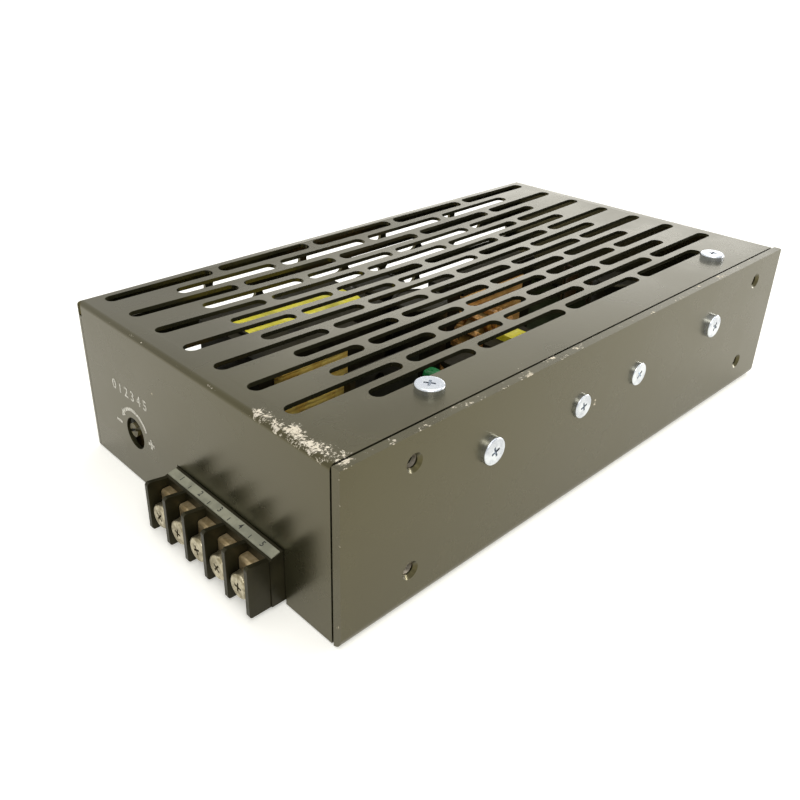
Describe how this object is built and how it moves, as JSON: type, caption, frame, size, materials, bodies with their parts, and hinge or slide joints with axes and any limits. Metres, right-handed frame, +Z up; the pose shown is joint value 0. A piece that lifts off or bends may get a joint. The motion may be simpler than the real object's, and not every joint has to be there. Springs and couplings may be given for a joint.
{
  "type": "enclosed power supply",
  "caption": "Flat metal-cased switching power supply with a slotted cover, a row of screw terminals at one end and a trimmer hole beside them.",
  "frame": {"origin": "centre of the chassis base's underside, midway between the end panels and between the side plate and the far wall", "axes": "+X along the length away from the terminals, +Z up out of the slotted top, the solid side plate faces -Y"},
  "size_m": [0.2101, 0.1184, 0.0502],
  "materials": {
    "case_paint": "semi-gloss dark grey paint over folded sheet",
    "zinc_steel": "bright zinc plate",
    "bracket_steel": "plain steel sheet",
    "board_green": "glass fibre board with solder mask",
    "film_black": "thin insulating film",
    "pillar_brass": "plain brass",
    "block_black": "moulded plastic",
    "plate_nickel": "nickel plate, slightly tan",
    "strip_grey": "light grey strip",
    "trimmer_olive": "moulded plastic",
    "rotor_pale": "moulded plastic",
    "ferrite": "dull dark grey ferrite",
    "tape_yellow": "polyester tape over a copper winding",
    "tape_amber": "polyimide tape over a copper winding",
    "tape_orange": "tape over a copper winding",
    "bobbin_black": "moulded plastic",
    "wire_brown": "enamelled copper wire",
    "iron_powder": "painted iron powder ring",
    "sleeve_dark": "shrunk sleeve over an aluminium can",
    "box_yellow": "moulded box",
    "dip_orange": "dipped coating",
    "dip_green": "dipped coating",
    "sink_aluminium": "dark anodised sheet",
    "moulded_black": "moulded package",
    "pad_grey": "thin silicone pad",
    "fuse_glass": "clear tube with plated caps",
    "clip_tin": "tinned spring strip",
    "resistor_blue": "glossy coating",
    "wire_tin": "tinned wire"
  },
  "bodies": {
    "case": {"board_screws": "zinc_steel", "board_standoffs": "pillar_brass", "bracket_screws": "zinc_steel", "bridge_rectifier": "moulded_black", "bulk_capacitor_1": "sleeve_dark", "bulk_capacitor_2": "sleeve_dark", "chassis": "case_paint", "circuit_board": "board_green", "control_chip": "moulded_black", "cover": "case_paint", "cover_brackets": "bracket_steel", "cover_screws": "zinc_steel", "device_insulators": "pad_grey", "device_nuts": "zinc_steel", "device_screws": "zinc_steel", "driver_transformer_coil": "tape_yellow", "driver_transformer_core": "ferrite", "drum_choke_core": "ferrite", "drum_choke_winding": "wire_brown", "far_wall_screws": "zinc_steel", "fuse": "fuse_glass", "fuse_clips": "clip_tin", "green_capacitor": "dip_green", "insulating_sheet": "film_black", "line_capacitor": "box_yellow", "line_choke_bobbin": "bobbin_black", "line_choke_coil": "tape_amber", "line_choke_core": "ferrite", "main_transformer_bobbin": "bobbin_black", "main_transformer_coil": "tape_orange", "main_transformer_core": "ferrite", "orange_capacitor": "dip_orange", "output_capacitor_1": "sleeve_dark", "output_capacitor_2": "sleeve_dark", "output_choke_bobbin": "bobbin_black", "output_choke_coil": "tape_yellow", "output_choke_core": "ferrite", "output_rectifier": "moulded_black", "rectifier_heatsink": "sink_aluminium", "resistors": "resistor_blue", "ring_choke_core": "iron_powder", "ring_choke_winding": "wire_brown", "switching_transistor": "moulded_black", "terminal_block": "block_black", "terminal_label_strip": "strip_grey", "terminal_plates": "plate_nickel", "transformer_leads": "wire_tin", "trimmer_body": "trimmer_olive"},
    "trimmer_rotor": {"trimmer_rotor": "rotor_pale"},
    "terminal_washer_1": {"terminal_washer_1": "zinc_steel"},
    "terminal_washer_2": {"terminal_washer_2": "zinc_steel"},
    "terminal_washer_3": {"terminal_washer_3": "zinc_steel"},
    "terminal_washer_4": {"terminal_washer_4": "zinc_steel"},
    "terminal_washer_5": {"terminal_washer_5": "zinc_steel"},
    "terminal_screw_1": {"terminal_screw_1": "zinc_steel"},
    "terminal_screw_2": {"terminal_screw_2": "zinc_steel"},
    "terminal_screw_3": {"terminal_screw_3": "zinc_steel"},
    "terminal_screw_4": {"terminal_screw_4": "zinc_steel"},
    "terminal_screw_5": {"terminal_screw_5": "zinc_steel"}
  },
  "joints": [
    {"name": "adjuster_turn", "type": "hinge", "parent": "case", "child": "trimmer_rotor", "pos_m": [-0.0995, 0.0329, 0.0162], "axis": [-1, 0, 0], "range_deg": [-130, 130]},
    {"name": "terminal_lift_1", "type": "slide", "parent": "case", "child": "terminal_washer_1", "axis": [-1, 0, 0], "range_m": [0, 0.003]},
    {"name": "terminal_turn_1", "type": "hinge", "parent": "terminal_washer_1", "child": "terminal_screw_1", "pos_m": [-0.1073, 0.00315, 0.0076], "axis": [-1, 0, 0], "range_deg": [0, 1800]},
    {"name": "terminal_lift_2", "type": "slide", "parent": "case", "child": "terminal_washer_2", "axis": [-1, 0, 0], "range_m": [0, 0.003]},
    {"name": "terminal_turn_2", "type": "hinge", "parent": "terminal_washer_2", "child": "terminal_screw_2", "pos_m": [-0.1073, -0.00565, 0.0076], "axis": [-1, 0, 0], "range_deg": [0, 1800]},
    {"name": "terminal_lift_3", "type": "slide", "parent": "case", "child": "terminal_washer_3", "axis": [-1, 0, 0], "range_m": [0, 0.003]},
    {"name": "terminal_turn_3", "type": "hinge", "parent": "terminal_washer_3", "child": "terminal_screw_3", "pos_m": [-0.1073, -0.01445, 0.0076], "axis": [-1, 0, 0], "range_deg": [0, 1800]},
    {"name": "terminal_lift_4", "type": "slide", "parent": "case", "child": "terminal_washer_4", "axis": [-1, 0, 0], "range_m": [0, 0.003]},
    {"name": "terminal_turn_4", "type": "hinge", "parent": "terminal_washer_4", "child": "terminal_screw_4", "pos_m": [-0.1073, -0.02325, 0.0076], "axis": [-1, 0, 0], "range_deg": [0, 1800]},
    {"name": "terminal_lift_5", "type": "slide", "parent": "case", "child": "terminal_washer_5", "axis": [-1, 0, 0], "range_m": [0, 0.003]},
    {"name": "terminal_turn_5", "type": "hinge", "parent": "terminal_washer_5", "child": "terminal_screw_5", "pos_m": [-0.1073, -0.03205, 0.0076], "axis": [-1, 0, 0], "range_deg": [0, 1800]}
  ],
  "couplings": [
    {"joint": "terminal_turn_1", "follows": "terminal_lift_1", "rad_per_m": 10472},
    {"joint": "terminal_turn_2", "follows": "terminal_lift_2", "rad_per_m": 10472},
    {"joint": "terminal_turn_3", "follows": "terminal_lift_3", "rad_per_m": 10472},
    {"joint": "terminal_turn_4", "follows": "terminal_lift_4", "rad_per_m": 10472},
    {"joint": "terminal_turn_5", "follows": "terminal_lift_5", "rad_per_m": 10472}
  ]
}
